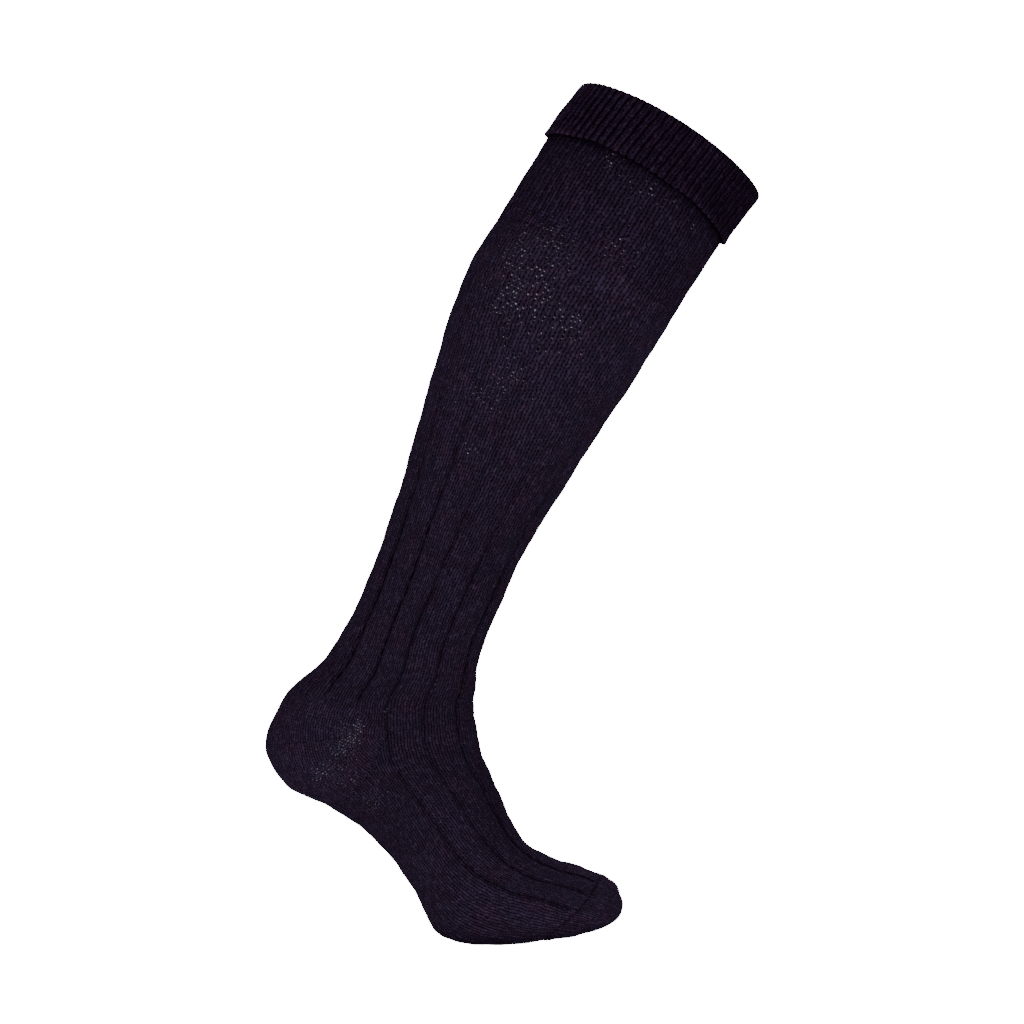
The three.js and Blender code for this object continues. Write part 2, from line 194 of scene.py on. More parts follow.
def angle_at(station, turn):
    """The angle of a turn, where 0 is the front and 0.5 the back."""
    turn = turn % 1.0
    half_turn = np.minimum(turn, 1 - turn)
    from_back = np.clip(2 - 4 * half_turn, 0, 1)
    section = section_at(station)
    power = 1 + gather_pull * (section["gather"] - 1)
    at_back = back_ease ** power
    gathered = ((from_back + back_ease) ** power - at_back) / ((1 + back_ease) ** power - at_back)
    back_part = 1 - (1 - section["front_share"]) * gathered
    share = np.where(half_turn > 0.25, back_part, 4 * section["front_share"] * half_turn)
    row = np.clip(station * rows_per_station, 0, len(table_stations) - inside_table)
    column = np.clip(share * share_steps, 0, len(table_shares) - inside_table)
    row_index = row.astype(int)
    column_index = column.astype(int)
    row_part = row - row_index
    column_part = column - column_index
    upper = angle_table[row_index, column_index] * (1 - column_part)
    upper = upper + angle_table[row_index, column_index + 1] * column_part
    lower = angle_table[row_index + 1, column_index] * (1 - column_part)
    lower = lower + angle_table[row_index + 1, column_index + 1] * column_part
    return np.where(turn <= 0.5, 1, -1) * (upper * (1 - row_part) + lower * row_part)


# Worn ribs never run dead straight and worn knitting never lies dead flat. Each wave has its height,
# how fast it runs along the sock, how often it goes round, and where it starts.
rib_wander = (
    (0.0008, 1.1, 3, 0.6),
    (0.0004, 2.9, -2, 2.1),
    (0.0003, 5.7, 5, 0.9),
    (0.0002, 17.0, -11, 1.7),
)
surface_swell = (
    (0.00030, 2.3, 2, 0.0),
    (0.00022, 5.1, -3, 1.3),
    (0.00012, 13.0, 8, 0.4),
)
# How far along and around the surface is felt for its slope
slope_station = 0.02
slope_turn = 0.004


def waves(table, station, turn):
    """The sum of a few waves that run along the sock and round it."""
    total = 0.0
    for height, along, around, start in table:
        total = total + height * np.sin(along * station + 2 * math.pi * around * turn + start)
    return total


def form_point(station, turn):
    """A point of the leg-shaped form, on a rib that wanders a little."""
    section = section_at(station)
    return point_at_angle(section, angle_at(station, turn + waves(rib_wander, station, turn)))


def raised_point(station, turn, height):
    """A point that stands a height above the form, or under it where the height is negative."""
    along = form_point(station + slope_station, turn) - form_point(station - slope_station, turn)
    around = form_point(station, turn + slope_turn) - form_point(station, turn - slope_turn)
    outward = -np.cross(along, around)
    outward = outward / (np.linalg.norm(outward, axis=-1, keepdims=True) + tiny)
    swell = waves(surface_swell, station, turn) * np.clip(last_station - 1 - station, 0, 1)
    return form_point(station, turn) + outward * (height + swell)[..., None]


steps_per_station = 100


def station_after(start, length, line):
    """The station that lies a length further along the sock's back, front or middle line."""
    stations = np.linspace(0, last_station, steps_per_station * last_station + 1)
    steps = np.linalg.norm(np.diff(line(section_at(stations)), axis=0), axis=1)
    lengths = np.concatenate([[0], np.cumsum(steps)])
    return np.interp(np.interp(start, stations, lengths) + length, lengths, stations)


wales = 72
points_per_wale = 8
sock_turns = np.arange(points_per_wale * wales) / (points_per_wale * wales)
plain_turns = np.arange(2 * wales) / (2 * wales)


def wale_crest(turns):
    """1 on the middle of each column of stitches and 0 in the furrow between two of them."""
    return 0.5 + 0.5 * np.cos(2 * math.pi * turns * wales)


def skin(stations, turns, heights, courses, dark=0.0, stretch=0.0):
    """Rings of points, with the stitch numbers that the material draws its stitches by. A stitch
    starts half a column on, so that its middle is on the crest of the column."""
    stations, turns, heights, courses, dark, stretch = np.broadcast_arrays(
        stations, turns, heights, courses, dark, stretch,
    )
    return {"points": raised_point(stations, turns, heights), "wale": turns * wales + 0.5,
            "course": courses, "dark": dark, "stretch": stretch}


def ring_corners(first, second):
    """The faces between two rings, where one ring may have more points or be a single point."""
    if min(first["count"], second["count"]) == 1:
        ring, pole = (first, second) if second["count"] == 1 else (second, first)
        fans = [[(ring, k), (ring, k + 1), (pole, 0)] for k in range(ring["count"])]
        return fans if ring is first else [fan[::-1] for fan in fans]
    shared = min(first["count"], second["count"])
    first_step = first["count"] // shared
    second_step = second["count"] // shared
    faces = []
    for k in range(shared):
        there = [(first, c) for c in range(k * first_step, (k + 1) * first_step + 1)]
        back = [(second, c) for c in range((k + 1) * second_step, k * second_step - 1, -1)]
        faces.append(there + back)
    return faces


def end_corners(ring, turned):
    """A flat end across one ring that runs out along one skin and back along the other."""
    faces = []
    for k in range(ring["count"] // 2 - 1):
        across = ring["count"] - 1 - k
        quad = [(ring, k), (ring, k + 1), (ring, across - 1), (ring, across)]
        faces.append(quad[::-1] if turned else quad)
    return faces


def knit_piece(name, skins, joined=False, round_tube=True):
    """One closed wall from skins of rings: a tube joined to itself, a cup, or a strip with ends."""
    points = []
    marks = {"dark": [], "stretch": []}
    rings = []
    for one_skin in skins:
        for row in range(len(one_skin["points"])):
            ring_points = one_skin["points"][row].tolist()
            wale_row = one_skin["wale"][row].tolist()
            course_row = one_skin["course"][row].tolist()
            one_step = wale_row[1] - wale_row[0] if round_tube and len(ring_points) > 1 else 0
            last_wale = wale_row[-1] + one_step if round_tube else wale_row[0]
            rings.append({"start": len(points), "count": len(ring_points), "wale": wale_row + [last_wale],
                          "course": course_row + [course_row[0]]})
            points.extend(ring_points)
            for mark, values in marks.items():
                values.extend(one_skin[mark][row].tolist())
    pairs = list(zip(rings, rings[1:]))
    if joined:
        pairs.append((rings[-1], rings[0]))
    corners = [face for first, second in pairs for face in ring_corners(first, second)]
    if not round_tube:
        corners += end_corners(rings[0], True) + end_corners(rings[-1], False)
    faces = [[ring["start"] + c % ring["count"] for ring, c in face] for face in corners]
    uvs = [value for face in corners for ring, c in face for value in (ring["wale"][c], ring["course"][c])]
    mesh = bpy.data.meshes.new(name)
    mesh.from_pydata(points, [], faces)
    mesh.uv_layers.new(name="stitches").data.foreach_set("uv", uvs)
    for mark, values in marks.items():
        mesh.attributes.new(mark, "FLOAT", "POINT").data.foreach_set("value", values)
    mesh.polygons.foreach_set("use_smooth", [True] * len(faces))
    piece = bpy.data.objects.new(name, mesh)
    bpy.context.collection.objects.link(piece)
    return piece


def linear(colour):
    """A colour given as an sRGB hex value, in the linear values that Blender works in."""
    shares = [int(colour[place:place + 2], 16) / 255 for place in (1, 3, 5)]
    return tuple(s / 12.92 if s <= 0.04045 else ((s + 0.055) / 1.055) ** 2.4 for s in shares) + (1.0,)


def add_node(tree, kind, settings=None, links=None):
    """Add one node, set its options and sockets, and link other nodes' outputs to its sockets."""
    new = tree.nodes.new(kind)
    for key, value in (settings or {}).items():
        if isinstance(key, str) and hasattr(new, key):
            setattr(new, key, value)
        else:
            new.inputs[key].default_value = value
    for key, output in (links or {}).items():
        tree.links.new(output, new.inputs[key])
    return new


# Sizes in the knitting in millimetres: one stitch at rest, how far apart stitches are pushed about
# differently, tufts of loose fibre, patches of uneven dye, and soft clouds of light and shade
wale_mm = 3.5
course_mm = 2.2
push_mm = 4.0
tuft_mm = 0.8
dye_mm = 14.0
cloud_mm = 45.0
course_height = course_mm / 1000
# How far the legs of a stitch rise from its middle to its side, in courses for a whole column
leg_slant = 1.1
twist_furrows = 3
yarn_relief = 0.0006
speck_colour = "#aaa5b0"


def knitted_wool(name, plum_hex, blue_hex, gap_shade_hex):
    """Woollen yarn, knitted in stocking stitch. To the eye it is matt and nearly black: each stitch is
    a V of two plump legs with painted shade in the gaps between them, the yarn is dyed a little
    unevenly from plum to blue, single stitches catch more light than their neighbours, and a few that
    are pulled open let a pale speck of light through."""
    material = bpy.data.materials.new(name)
    material.use_nodes = True
    tree = material.node_tree
    tree.nodes.clear()
    stitches = add_node(tree, "ShaderNodeUVMap", {"uv_map": "stitches"})
    # No two stitches are drawn up alike, so each is pushed a little to one side and up or down
    place = add_node(tree, "ShaderNodeTexCoord")
    push = add_node(tree, "ShaderNodeTexNoise", {"Scale": 1000 / push_mm, "Detail": 1.0, "Roughness": 0.5},
                    {"Vector": place.outputs["Object"]})
    either_way = add_node(tree, "ShaderNodeVectorMath", {"operation": "SUBTRACT", 1: (0.5, 0.5, 0.5)},
                          {0: push.outputs["Color"]})
    pushed = add_node(tree, "ShaderNodeVectorMath", {"operation": "MULTIPLY_ADD", 1: (0.5, 1.2, 0.0)},
                      {0: either_way.outputs[0], 2: stitches.outputs[0]})
    split = add_node(tree, "ShaderNodeSeparateXYZ", links={0: pushed.outputs[0]})
    # Across one column: 0 down the middle of the V, 0.5 at its outer edge, and -1 to 1 across a leg
    in_wale = add_node(tree, "ShaderNodeMath", {"operation": "FRACT"}, {0: split.outputs["X"]})
    off_middle = add_node(tree, "ShaderNodeMath", {"operation": "SUBTRACT", 1: 0.5},
                          {0: in_wale.outputs[0]})
    to_side = add_node(tree, "ShaderNodeMath", {"operation": "ABSOLUTE"}, {0: off_middle.outputs[0]})
    across_leg = add_node(tree, "ShaderNodeMath", {"operation": "MULTIPLY_ADD", 1: 4.0, 2: -1.0},
                          {0: to_side.outputs[0]})
    across_square = add_node(tree, "ShaderNodeMath", {"operation": "MULTIPLY"},
                             {0: across_leg.outputs[0], 1: across_leg.outputs[0]})
    # Along the yarn, -1 to 1: the legs of the V rise outwards by about half a course
    slant = add_node(tree, "ShaderNodeMath", {"operation": "MULTIPLY_ADD", 1: leg_slant},
                     {0: to_side.outputs[0], 2: split.outputs["Y"]})
    in_course = add_node(tree, "ShaderNodeMath", {"operation": "FRACT"}, {0: slant.outputs[0]})
    along_leg = add_node(tree, "ShaderNodeMath", {"operation": "MULTIPLY_ADD", 1: 2.0, 2: -1.0},
                         {0: in_course.outputs[0]})
    along_square = add_node(tree, "ShaderNodeMath", {"operation": "MULTIPLY"},
                            {0: along_leg.outputs[0], 1: along_leg.outputs[0]})
    # How plump the leg is: full in its middle, falling away to its sides and, less, to its two ends
    thick = add_node(tree, "ShaderNodeMath", {"operation": "MULTIPLY_ADD", 1: -0.82, 2: 1.0},
                     {0: across_square.outputs[0]})
    round_thick = add_node(tree, "ShaderNodeMath",
                           {"operation": "MULTIPLY_ADD", "use_clamp": True, 1: -0.4},
                           {0: along_square.outputs[0], 2: thick.outputs[0]})
    plump = add_node(tree, "ShaderNodeMath", {"operation": "SQRT"}, {0: round_thick.outputs[0]})
    # The two strands of the yarn are twisted together, which rings each leg with three slanting furrows
    twist = add_node(tree, "ShaderNodeMath", {"operation": "MULTIPLY_ADD", 1: 1.2},
                     {0: across_leg.outputs[0]})
    twist_along = add_node(tree, "ShaderNodeMath",
                           {"operation": "MULTIPLY_ADD", 1: twist_furrows * math.pi},
                           {0: along_leg.outputs[0], 2: twist.outputs[0]})
    strand = add_node(tree, "ShaderNodeMath", {"operation": "SINE"}, {0: twist_along.outputs[0]})
    # Random values for each leg of a stitch
    legs = add_node(tree, "ShaderNodeMath", {"operation": "MULTIPLY", 1: 2.0}, {0: split.outputs["X"]})
    leg_number = add_node(tree, "ShaderNodeMath", {"operation": "FLOOR"}, {0: legs.outputs[0]})
    course_number = add_node(tree, "ShaderNodeMath", {"operation": "FLOOR"}, {0: slant.outputs[0]})
    stitch_number = add_node(tree, "ShaderNodeCombineXYZ",
                             links={"X": leg_number.outputs[0], "Y": course_number.outputs[0]})
    chance = add_node(tree, "ShaderNodeTexWhiteNoise", {"noise_dimensions": "2D"},
                      {"Vector": stitch_number.outputs[0]})
    # Single fibres are too fine to show, so they are drawn as coarse as tufts. Then dye and clouds.
    fluff = add_node(tree, "ShaderNodeTexNoise",
                     {"Scale": 1000 / tuft_mm, "Detail": 3.0, "Roughness": 0.65},
                     {"Vector": place.outputs["Object"]})
    dye = add_node(tree, "ShaderNodeTexNoise", {"Scale": 1000 / dye_mm, "Detail": 2.0, "Roughness": 0.5},
                   {"Vector": place.outputs["Object"]})
    clouds = add_node(tree, "ShaderNodeTexNoise",
                      {"Scale": 1000 / cloud_mm, "Detail": 3.0, "Roughness": 0.55},
                      {"Vector": place.outputs["Object"]})
    # Height of the yarn: plump legs, some higher than others, ringed by the twist and roughened by tufts
    uneven = add_node(tree, "ShaderNodeMath", {"operation": "MULTIPLY_ADD", 1: 0.25},
                      {0: chance.outputs["Value"], 2: plump.outputs[0]})
    stranded = add_node(tree, "ShaderNodeMath", {"operation": "MULTIPLY_ADD", 1: 0.06},
                        {0: strand.outputs[0], 2: uneven.outputs[0]})
    height = add_node(tree, "ShaderNodeMath", {"operation": "MULTIPLY_ADD", 1: 0.4},
                      {0: fluff.outputs["Fac"], 2: stranded.outputs[0]})
    bump = add_node(tree, "ShaderNodeBump", {"Strength": 1.0, "Distance": yarn_relief},
                    {"Height": height.outputs[0]})
    # Colour of the yarn: painted shade in the gaps between the legs, and crests between plum and blue
    crest = add_node(tree, "ShaderNodeMapRange",
                     {"interpolation_type": "SMOOTHSTEP", "From Min": 0.35, "From Max": 0.98},
                     {"Value": plump.outputs[0]})
    dye_share = add_node(tree, "ShaderNodeMapRange", {"From Min": 0.38, "From Max": 0.62},
                         {"Value": dye.outputs["Fac"]})
    dyed = add_node(tree, "ShaderNodeMix", {"data_type": "RGBA", 6: linear(plum_hex), 7: linear(blue_hex)},
                    {0: dye_share.outputs["Result"]})
    yarn = add_node(tree, "ShaderNodeMix", {"data_type": "RGBA", 6: linear(gap_shade_hex)},
                    {0: crest.outputs["Result"], 7: dyed.outputs[2]})
    # Light and shade: single bright stitches, clouds, tufts, and painted shade from the dark mark, darker
    # down in the grooves, with painted light where the mark is negative
    rare = add_node(tree, "ShaderNodeMath", {"operation": "POWER", 1: 2.0}, {0: chance.outputs["Value"]})
    stitch_tone = add_node(tree, "ShaderNodeMath", {"operation": "MULTIPLY_ADD", 1: 0.6, 2: 0.8},
                           {0: rare.outputs[0]})
    cloud_tone = add_node(tree, "ShaderNodeMapRange",
                          {"From Min": 0.3, "From Max": 0.7, "To Min": 0.92, "To Max": 1.06},
                          {"Value": clouds.outputs["Fac"]})
    fluff_tone = add_node(tree, "ShaderNodeMapRange",
                          {"From Min": 0.3, "From Max": 0.7, "To Min": 0.45, "To Max": 1.55},
                          {"Value": fluff.outputs["Fac"]})
    painted_shade_mark = add_node(tree, "ShaderNodeAttribute", {"attribute_name": "dark"})
    painted_shade_tone = add_node(tree, "ShaderNodeMath", {"operation": "MULTIPLY_ADD", 1: -0.7, 2: 1.0},
                           {0: painted_shade_mark.outputs["Fac"]})
    tone_one = add_node(tree, "ShaderNodeMath", {"operation": "MULTIPLY"},
                        {0: stitch_tone.outputs[0], 1: cloud_tone.outputs["Result"]})
    tone_two = add_node(tree, "ShaderNodeMath", {"operation": "MULTIPLY"},
                        {0: tone_one.outputs[0], 1: fluff_tone.outputs["Result"]})
    tone = add_node(tree, "ShaderNodeMath", {"operation": "MULTIPLY"},
                    {0: tone_two.outputs[0], 1: painted_shade_tone.outputs[0]})
    toned = add_node(tree, "ShaderNodeVectorMath", {"operation": "SCALE"},
                     {0: yarn.outputs[2], "Scale": tone.outputs[0]})
    # Pale specks of light in the holes between stitches that are pulled open. They are between half a
    # millimetre and a millimetre across, and the more a place is stretched, the larger and brighter.
    stretch_mark = add_node(tree, "ShaderNodeAttribute", {"attribute_name": "stretch"})
    hole_column = add_node(tree, "ShaderNodeMath", {"operation": "ROUND"}, {0: legs.outputs[0]})
    hole_row = add_node(tree, "ShaderNodeMath", {"operation": "FLOOR"}, {0: split.outputs["Y"]})
    hole_number = add_node(tree, "ShaderNodeCombineXYZ",
                           links={"X": hole_column.outputs[0], "Y": hole_row.outputs[0]})
    hole_chance = add_node(tree, "ShaderNodeTexWhiteNoise", {"noise_dimensions": "2D"},
                           {"Vector": hole_number.outputs[0]})
    is_open = add_node(tree, "ShaderNodeMath", {"operation": "LESS_THAN"},
                       {0: hole_chance.outputs["Value"], 1: stretch_mark.outputs["Fac"]})
    hole_x = add_node(tree, "ShaderNodeMath", {"operation": "SUBTRACT"},
                      {0: legs.outputs[0], 1: hole_column.outputs[0]})
    hole_x_mm = add_node(tree, "ShaderNodeMath", {"operation": "MULTIPLY", 1: wale_mm / 2},
                         {0: hole_x.outputs[0]})
    hole_y = add_node(tree, "ShaderNodeMath", {"operation": "SUBTRACT"},
                      {0: split.outputs["Y"], 1: hole_row.outputs[0]})
    hole_y_mm = add_node(tree, "ShaderNodeMath",
                         {"operation": "MULTIPLY_ADD", 1: course_mm, 2: -0.5 * course_mm},
                         {0: hole_y.outputs[0]})
    from_hole = add_node(tree, "ShaderNodeCombineXYZ",
                         links={"X": hole_x_mm.outputs[0], "Y": hole_y_mm.outputs[0]})
    distance = add_node(tree, "ShaderNodeVectorMath", {"operation": "LENGTH"}, {0: from_hole.outputs[0]})
    hole_size = add_node(tree, "ShaderNodeMath", {"operation": "MULTIPLY_ADD", 1: 0.26, 2: 0.24},
                         {0: stretch_mark.outputs["Fac"]})
    hole_shape = add_node(tree, "ShaderNodeMapRange", {"From Max": 0.15},
                          {"Value": distance.outputs["Value"], "From Min": hole_size.outputs[0]})
    hole_random = add_node(tree, "ShaderNodeSeparateColor", links={0: hole_chance.outputs["Color"]})
    hole_rareness = add_node(tree, "ShaderNodeMath", {"operation": "MULTIPLY_ADD", 1: -3.0, 2: 4.2},
                             {0: stretch_mark.outputs["Fac"]})
    hole_light = add_node(tree, "ShaderNodeMath", {"operation": "POWER"},
                          {0: hole_random.outputs["Blue"], 1: hole_rareness.outputs[0]})
    hole_shown = add_node(tree, "ShaderNodeMath", {"operation": "MULTIPLY"},
                          {0: hole_shape.outputs["Result"], 1: hole_light.outputs[0]})
    speck = add_node(tree, "ShaderNodeMath", {"operation": "MULTIPLY"},
                     {0: is_open.outputs[0], 1: hole_shown.outputs[0]})
    colour = add_node(tree, "ShaderNodeMix", {"data_type": "RGBA", 7: linear(speck_colour)},
                      {0: speck.outputs[0], 6: toned.outputs[0]})
    # Loose wool scatters light and has no gloss of its own
    shader = add_node(tree, "ShaderNodeBsdfPrincipled",
                      {"Roughness": 0.95, "Specular IOR Level": 0.0},
                      {"Base Color": colour.outputs[2], "Normal": bump.outputs[0]})
    add_node(tree, "ShaderNodeOutputMaterial", links={"Surface": shader.outputs[0]})
    return material


cuff_depth = 0.039
cuff_wall = 0.0026
cuff_lift = 0.0004
lip_depth = 0.007
cuff_relief = 0.0012
# The hem hangs in a small loop below each rib, and its edge rolls out a little
hem_loop = 0.0011
hem_roll = 0.0004
hem_roundness = 0.6
sag_power = 3
fold_radius = 0.5 * (knit_wall + cuff_lift + cuff_wall)
fold_middle = fold_radius - knit_wall
outer_face = cuff_lift + cuff_wall
relief_waves = (
    (0.30, 0.0, 1, -math.pi / 2),
    (0.14, 2.0, 31, 0.0),
    (0.12, 3.5, 23, 1.0),
    (0.08, 9.0, -13, 2.0),
)
hem_waves = ((0.0006, 0.0, 5, 0.4), (0.0004, 0.0, 11, 0.0))
# Painted shade darkens the furrows between the fine ribs. Towards the back the furrows get more painted
# shade and the crests painted light, towards the front the crests get painted shade, and a painted
# highlight runs along the edge of the hem all round.
cuff_furrow_shade = 0.6
furrow_sharpness = 1.5
back_furrow_shade = 0.3
back_painted_light = 0.9
back_mean = 0.3
back_swing = 0.7
hem_highlight = 0.8
hem_highlight_depth = 0.0022


def cuff_ring(depth, height, turns, ribbed):
    """One ring of the cuff, at a depth below the rim and a height above the form."""
    crest = wale_crest(turns)
    sag = (waves(hem_waves, 0, turns) + hem_loop * crest) * np.clip(depth / cuff_depth, 0, 1) ** sag_power
    station = station_after(0, depth + sag * ribbed, middle_line)
    uneven = 1 + waves(relief_waves, station, turns)
    relief = cuff_relief * ribbed * (1 - crest) * uneven
    to_back = back_mean - back_swing * np.cos(2 * math.pi * turns)
    # Painted shade in the furrows, and painted light and shade on the crests by side
    dark = ribbed * (1 - crest) ** furrow_sharpness * (cuff_furrow_shade + back_furrow_shade * to_back)
    dark = dark - ribbed * back_painted_light * to_back * crest
    # Painted highlight along the edge of the hem
    dark = dark - hem_highlight * np.clip(1 - (cuff_depth - depth) / hem_highlight_depth, 0, 1)
    return skin(station[None, :], turns[None, :], (height - relief)[None, :], depth / course_height,
                dark[None, :])


# Rings from the lip up the inside, round the fold, down the ribbed face, round the hem and back up
cuff_skins = [
    cuff_ring(lip_depth, -knit_wall, plain_turns, 0.0),
    cuff_ring(fold_radius, -knit_wall, plain_turns, 0.0),
]
fold_steps = 8
cuff_rows = 16
under_hem = 0.5
for step in range(1, fold_steps + 1):
    angle = math.pi * step / fold_steps
    depth = fold_radius * (1 - math.sin(angle))
    height = fold_middle - fold_radius * math.cos(angle)
    cuff_skins.append(cuff_ring(depth, height, sock_turns, math.sin(min(angle, math.pi / 2))))
for depth in np.linspace(fold_radius, cuff_depth - 2 * cuff_wall, cuff_rows)[1:]:
    cuff_skins.append(cuff_ring(depth, outer_face, sock_turns, 1.0))
for step in range(1, fold_steps):
    angle = math.pi * step / fold_steps
    depth = cuff_depth - hem_roundness * cuff_wall * (1 - math.sin(angle))
    height = outer_face - cuff_wall / 2 + (cuff_wall / 2 + hem_roll) * math.cos(angle)
    cuff_skins.append(cuff_ring(depth, height, sock_turns, 1.0 if angle < math.pi / 2 else under_hem))
cuff_skins.append(cuff_ring(cuff_depth - cuff_wall, cuff_lift, plain_turns, 0.0))
cuff_skins.append(cuff_ring(fold_radius, cuff_lift, plain_turns, 0.0))
cuff_skins.append(cuff_ring(fold_radius, 0.0, plain_turns, 0.0))
cuff_skins.append(cuff_ring(lip_depth, 0.0, plain_turns, 0.0))
cuff = knit_piece("turnover_cuff", cuff_skins, joined=True)
# Thick wool in closed-up ribs takes in the most light, so it is the darkest of the sock
cuff.data.materials.append(knitted_wool("thick_rib_wool", "#27182a", "#24182b", "#0c050e"))
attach(cuff, "root")
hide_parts("turnover_cuff")

# Garter band. The fine one-and-one rib runs on under the cuff and a little below it, where it
# grips the leg under the knee. It is drawn thinner by the calf, so its ribs lie flatter.
band_show = 0.060
band_relief = 0.0006
wale_ridge = 0.0002
band_rows = 49
band_inner_step = 8
# The ribs flatten out where the band passes into the leg, and the painted shade in their furrows fades with
# them
fade_length = 0.010
least_band_shade = 0.08
more_band_shade = 0.22
# Shade under the cuff: a narrow dark line right below the hem, and a longer fade down the band
hem_line_dark = 0.5
hem_line_place = 0.002
hem_line_width = 0.005
hem_fade_dark = 0.65
hem_fade_length = 0.018
band_top = station_after(0, lip_depth, middle_line)
band_bottom = station_after(0, cuff_depth + band_show, middle_line)
# Where the knitting is stretched: how far in front of the middle of the mouth and how far above it,
# with minus for behind and below, how far around that it reaches, all in metres, and the share of
# stitches there that let a speck of light through
stretched_places = (
    (-0.041, -0.023, 0.0069, 0.50),
    (-0.017, -0.042, 0.0092, 0.72),
    (0.008, -0.058, 0.0046, 0.58),
    (-0.038, -0.077, 0.0126, 0.68),
    (-0.075, -0.070, 0.0161, 0.68),
    (-0.100, -0.079, 0.0103, 0.68),
    (-0.102, -0.100, 0.0115, 0.72),
    (-0.080, -0.099, 0.0149, 0.62),
    (-0.110, -0.112, 0.0080, 0.66),
    (-0.063, -0.124, 0.0126, 0.70),
    (-0.090, -0.125, 0.0184, 0.36),
    (-0.102, -0.149, 0.0138, 0.62),
    (-0.120, -0.168, 0.0138, 0.50),
    (-0.128, -0.199, 0.0069, 0.66),
    (-0.228, -0.359, 0.0046, 0.43),
    (-0.199, -0.371, 0.0057, 0.80),
    (-0.179, -0.364, 0.0057, 0.51),
    (-0.209, -0.384, 0.0080, 0.85),
    (-0.200, -0.379, 0.0070, 0.80),
    (-0.221, -0.401, 0.0090, 0.85),
    (-0.206, -0.403, 0.0103, 0.65),
    (-0.187, -0.417, 0.0069, 0.51),
)


def pulled_open(stations, turns):
    """The share of stitches that are pulled open at each point."""
    points = form_point(stations, turns)
    marks = 0
    for x, z, radius, share in stretched_places:
        distance = np.hypot(points[..., 0] - x, points[..., 2] - z) / radius
        marks = marks + share * np.exp(-distance ** 2)
    return np.clip(marks, 0, 1)


around = sock_turns[None, :]
plain_around = plain_turns[None, :]
band_length = cuff_depth + band_show - lip_depth
band_steps = np.linspace(0, 1, band_rows)[:, None]
band_stations = band_top + (band_bottom - band_top) * band_steps
band_fade = np.clip((1 - band_steps) * band_length / fade_length, 0, 1)
from_hem = band_steps * band_length + lip_depth - cuff_depth
hem_shade = hem_line_dark * np.exp(-((from_hem - hem_line_place) / hem_line_width) ** 2)
hem_shade = hem_shade + hem_fade_dark * np.exp(-np.abs(from_hem) / hem_fade_length)
band_uneven = 1 + waves(relief_waves, band_stations, around)
band_depth = wale_ridge + (band_relief - wale_ridge) * band_fade * band_uneven
# Painted shade in the furrows between the fine ribs
band_furrow_shade = (least_band_shade + more_band_shade * band_fade) * (1 - wale_crest(around)) ** furrow_sharpness
band_courses = band_steps * band_length / course_height
band_outer = skin(band_stations, around, -band_depth * (1 - wale_crest(around)), band_courses,
                  np.maximum(band_furrow_shade, hem_shade), pulled_open(band_stations, around))
band_inner = skin(band_stations[::-band_inner_step], plain_around, -knit_wall,
                  band_courses[::-band_inner_step])
band = knit_piece("garter_band", [band_outer, band_inner], joined=True)
# Thinner wool in fine ribs, a shade lighter than the cuff
band.data.materials.append(knitted_wool("fine_rib_wool", "#2e2033", "#2b2135", "#120617"))
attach(band, "root")
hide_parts("garter_band")

# Leg. Twelve broad ribs, each five columns of plain stitches beside one sunken purl column. On the
# calf they are pulled almost flat, and over the shin and the ankle the grooves close up and deepen.
broad_ribs = 12
rib_wales = wales // broad_ribs
rib_groove = 0.0014
groove_sharpness = 1.6
leg_rows = 111
leg_inner_step = 5
# The heel pocket takes out this much of the back line above and below its corners
heel_rise = 0.037
heel_drop = 0.059
heel_spread = 3.4
heel_fade_length = 0.008
leg_length = 0.302
heel_corner = station_of("heel_line")
heel_upper = station_after(heel_corner, -heel_rise, back_line)
heel_lower = station_after(heel_corner, heel_drop, back_line)
rib_dome = 0.00035
groove_waves = ((0.06, 17.0, 4, 0.0), (0.04, 41.0, 7, 1.0))
# How much painted shade lies in a groove along the sock, and its half width in columns of stitches
groove_looks = {
    "mid_leg": (1.0, 0.45),
    "ankle": (0.88, 0.32),
    "heel_line": (0.45, 0.36),
    "arch_top": (0.42, 0.40),
    "instep": (1.8, 0.45),
    "toe_root": (2.5, 0.50),
}
groove_stations = [station_of(name) for name in groove_looks]
groove_shades, groove_widths = zip(*groove_looks.values())
# Painted light: the wool is painted paler over the forefoot and the toes
painted_light_stations = (station_of("arch"), station_of("instep"), station_of("toe_root"))
painted_light_shares = (0.0, 0.2, 0.45)
# The grooves near the front edge and towards the back get more painted shade than those on the side
side_turns = (0.10, 0.15, 0.26, 0.32)
side_shades = (0.9, 0.6, 0.6, 1.0)
darkest_groove = 1.3
shade_waves = ((0.25, 23.0, 5, 0.0), (0.20, 61.0, 9, 1.0))
furrow_shade = 0.05


def pocket_share(turns):
    """How far the heel pocket is open at a turn: nothing at its two corners, all at the back."""
    from_front = np.minimum(turns, 1 - turns)
    return 1 - (1 - np.clip(4 * from_front - 1, 0, 1)) ** heel_spread


